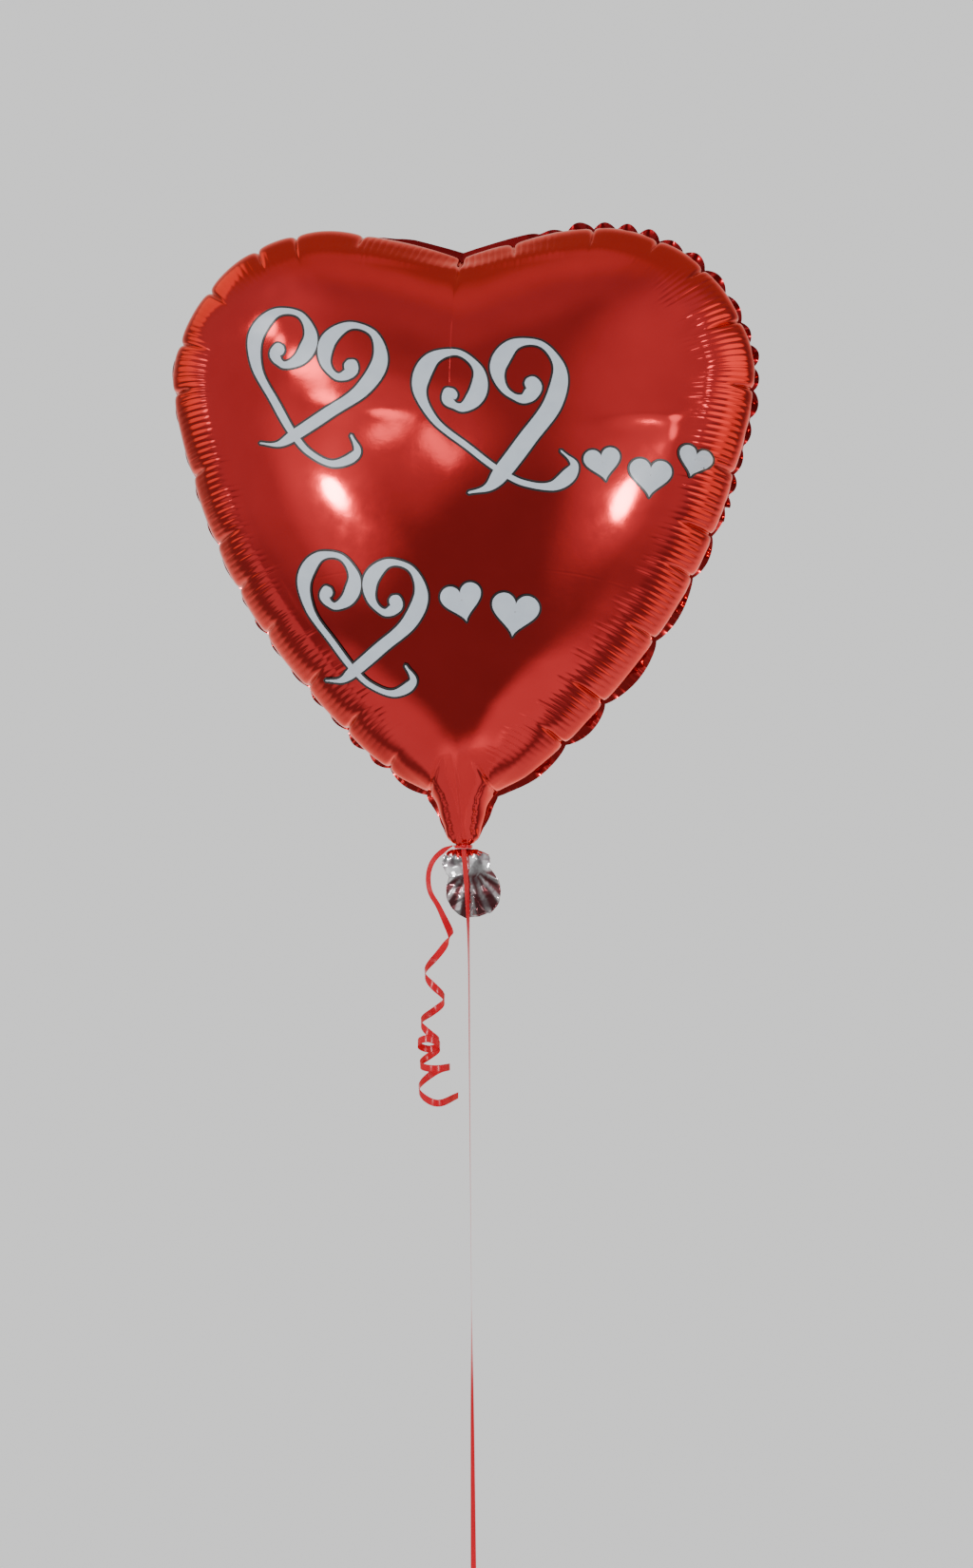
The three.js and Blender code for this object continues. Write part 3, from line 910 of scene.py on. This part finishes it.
def tail_films():
    """The filling tail: two small films, red where they are gathered under the tie, bare metal below."""
    ROWS, COLUMNS, GAP, PLEATS = 330, 30, 0.16, 7
    half = Half(TAIL_OUTLINE, ROWS, COLUMNS, (TAIL_TOP - 3, -38), 0.5, 3)
    rng = np.random.default_rng(5)
    for name, facing in (("front", -1), ("back", 1)):
        sides = []
        for side in (1, -1):
            x, z, t = half.points[..., 0] * side, half.points[..., 2], half.inward
            crumple = 0
            for _ in range(4):
                heading = rng.uniform(0.4, 2.2)
                wave = (x * math.cos(heading) + z * math.sin(heading)) / rng.uniform(10, 18) + rng.uniform()
                crumple = crumple + (np.abs(wave % 1 * 2 - 1) - 0.5) * rng.uniform(0.4, 1.0)
            fan = np.arctan2(x - 2, -(z + 18)) * 2.2
            crumple = crumple + (np.abs(fan % 1 * 2 - 1) - 0.5) * 0.9 * smoothstep(-z, 22, 30)
            smooth_lobe = np.exp(-(((x - 9) ** 2 + (z + 13) ** 2) / 50))
            share = x / np.maximum(np.interp(-z, -half.outline[:, 1], half.outline[:, 0]), 1)
            pleated = (1 - smoothstep(-z, 8, 13)) * smoothstep(-z, 4, 7)
            pleats = 0.9 * (np.abs(np.sin(PLEATS * share)) - 0.5) * pleated
            lift = crumple * (1 - 0.95 * smooth_lobe) * smoothstep(-z, 6, 12) + 2.2 * smooth_lobe + pleats
            points = half.points + half.normals * (lift * smoothstep(t, 0, 2.5))[..., None]
            margin = points[:, 0].copy()
            margin[:, [0, 2]] -= half.outward * 0.5
            points[..., 1] = facing * (points[..., 1] + GAP)
            margin[:, 1] = facing * GAP
            sides.append(np.concatenate([margin[:, None], points], axis=1))
        vertices, faces, _ = both_halves(*sides)
        if facing > 0:
            faces = faces[:, ::-1]
        faces = solid_faces(vertices, faces)
        x, z = vertices[:, 0].copy(), vertices[:, 2].copy()
        edge = -10 + 2.2 * smoothstep(np.abs(x - 1), 4, 9) + 0.7 * np.sin(x * 1.9) + 0.4 * np.sin(x * 4.3)
        lean = TAIL_LEAN * smoothstep(-z, 3, 16)
        vertices[:, 0] = x * np.cos(lean) + (z - TAIL_PIVOT) * np.sin(lean)
        vertices[:, 2] = -x * np.sin(lean) + (z - TAIL_PIVOT) * np.cos(lean) + TAIL_PIVOT
        piece = make_object(f"tail_{name}", vertices * MM, faces, TAIL_FOIL)
        mark(piece, "ink", smoothstep(z - edge, -0.15, 0.15))
        # Painted shade and dark-red painted reflection, in streaks fanning over the lower disc.
        streaks = np.abs((np.arctan2(x - 2, -(z + 16)) * 3.1) % 1 * 2 - 1)
        mark(piece, "painted_shade_and_reflection", smoothstep(-z, 21, 25) * (0.25 + 0.7 * smoothstep(streaks, 0.2, 0.6)))
        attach(piece, "tail")
        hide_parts(f"tail_{name}_ply")


tail_films()


def valve():
    film = valve_film()
    for name in ("valve_front_ply", "valve_back_ply"):
        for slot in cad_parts[name].material_slots:
            slot.material = film


valve()


# ---------------------------------------------------------------- room, light and floor


def direction(azimuth, elevation):
    """A unit vector seen from the balloon: azimuth 0 is towards the camera, 90 to the viewer's right."""
    a, e = math.radians(azimuth), math.radians(elevation)
    return (math.sin(a) * math.cos(e), -math.cos(a) * math.cos(e), math.sin(e))


# What the foil mirrors: (azimuth, elevation, half angle, softness, colour, strength).
WARM = (1.0, 0.52, 0.28)
PALE = (1.0, 0.97, 0.94)
PATCHES = [
    (-66, 20, 30, 25, PALE, 0.32),
    (68, 16, 30, 25, PALE, 0.34),
    (-62, 36, 2.5, 3, PALE, 9.0),
    (-51, 31, 2.2, 3, PALE, 5.0),
    (-37, 26, 2.5, 3, PALE, 7.0),
    (-17, 15, 2, 3, PALE, 3.0),
    (-8, 10, 1.5, 3, PALE, 2.0),
    (62, 2, 4, 4, PALE, 2.2),
    (78, 10, 2.5, 3, PALE, 5.0),
    (-94, 6, 3, 3, PALE, 2.5),
    (-112, 8, 10, 6, WARM, 0.9),
    (-126, 34, 9, 6, WARM, 0.8),
    (104, 12, 12, 6, WARM, 1.2),
    (114, -14, 9, 5, WARM, 0.9),
    (180, 55, 34, 20, WARM, 0.18),
    (-100, -28, 8, 6, PALE, 0.4),
    (10, 50, 34, 25, PALE, 0.10),
    (-30, 78, 16, 16, PALE, 0.12),
    (66, -58, 16, 12, PALE, 0.60),
    (-74, -60, 16, 12, PALE, 0.50),
    (5, -84, 16, 8, PALE, 0.9),
    (180, 0, 32, 24, PALE, 0.45),
    (160, -30, 22, 18, PALE, 0.65),
    (-160, -28, 18, 16, PALE, 0.5),
    (-40, -4, 7, 18, PALE, 0.42),
    (46, -9, 6, 16, PALE, 0.3),
    (-18, 14, 9, 14, PALE, 0.3),
]


def room():
    """The world: a plain pale backdrop for the eye, and a soft studio for the foil to mirror."""
    world = bpy.data.worlds.new("studio")
    bpy.context.scene.world = world
    world.use_nodes = True
    tree = world.node_tree
    tree.nodes.clear()
    where = tree.nodes.new("ShaderNodeTexCoord").outputs["Generated"]
    total = tree.nodes.new("ShaderNodeRGB").outputs[0]
    total.default_value = (0.25, 0.24, 0.23, 1)
    for azimuth, elevation, size, soft, colour, strength in PATCHES:
        dot = tree.nodes.new("ShaderNodeVectorMath")
        dot.operation = "DOT_PRODUCT"
        link(tree, where, dot.inputs[0])
        dot.inputs[1].default_value = direction(azimuth, elevation)
        fade = tree.nodes.new("ShaderNodeMapRange")
        fade.interpolation_type = "SMOOTHSTEP"
        fade.inputs["From Min"].default_value = math.cos(math.radians(size + soft))
        fade.inputs["From Max"].default_value = math.cos(math.radians(size))
        link(tree, dot.outputs["Value"], fade.inputs["Value"])
        add = tree.nodes.new("ShaderNodeMix")
        add.data_type, add.blend_type = "RGBA", "ADD"
        add.clamp_result = False
        link(tree, fade.outputs["Result"], add.inputs["Factor"])
        link(tree, total, add.inputs["A"])
        add.inputs["B"].default_value = (*[c * strength for c in colour], 1)
        total = add.outputs["Result"]
    mirrored = tree.nodes.new("ShaderNodeBackground")
    link(tree, total, mirrored.inputs["Color"])
    backdrop = tree.nodes.new("ShaderNodeBackground")
    backdrop.inputs["Color"].default_value = (0.98, 0.98, 0.975, 1)
    seen = tree.nodes.new("ShaderNodeLightPath")
    mix = tree.nodes.new("ShaderNodeMixShader")
    link(tree, seen.outputs["Is Camera Ray"], mix.inputs["Fac"])
    link(tree, mirrored.outputs["Background"], mix.inputs[1])
    link(tree, backdrop.outputs["Background"], mix.inputs[2])
    output = tree.nodes.new("ShaderNodeOutputWorld")
    link(tree, mix.outputs["Shader"], output.inputs["Surface"])


def area_light(name, azimuth, elevation, distance, size, power):
    data = bpy.data.lights.new(name, "AREA")
    data.shape, data.size, data.energy = "DISK", size, power
    made = bpy.data.objects.new(name, data)
    towards = Vector(direction(azimuth, elevation))
    made.location = Vector((0, 0, 0.2)) + towards * distance
    made.rotation_euler = towards.to_track_quat("Z", "Y").to_euler()
    bpy.context.collection.objects.link(made)


def floor():
    DROP, RADIUS, SIDES = 1.2, 0.6, 96
    rings = [0.0, 0.5, 0.9, 0.97, 1.0]
    points = [(0, 0, -DROP)]
    for ring in rings[1:]:
        for k in range(SIDES):
            a = 2 * math.pi * k / SIDES
            points.append((RADIUS * ring * math.cos(a), RADIUS * ring * math.sin(a), -DROP))
    faces = [(0, 1 + k, 1 + (k + 1) % SIDES) for k in range(SIDES)]
    for r in range(len(rings) - 2):
        a, b = 1 + r * SIDES, 1 + (r + 1) * SIDES
        faces += [(a + k, b + k, b + (k + 1) % SIDES, a + (k + 1) % SIDES) for k in range(SIDES)]
    material, tree, shader = new_material("floor", Roughness=0.8)
    pales = ramp(tree, noise(tree, 3), 0.3, 0.7, (0.92, 0.94, 0.96), (0.94, 0.96, 0.98))
    link(tree, pales, shader.inputs["Base Color"])
    mesh = bpy.data.meshes.new("floor")
    mesh.from_pydata(points, [], faces)
    mesh.materials.append(material)
    made = bpy.data.objects.new("floor", mesh)
    bpy.context.collection.objects.link(made)


room()
area_light("key", -36, -5, 3.0, 0.42, 30)
area_light("fill", 48, -10, 3.0, 0.40, 18)
floor()
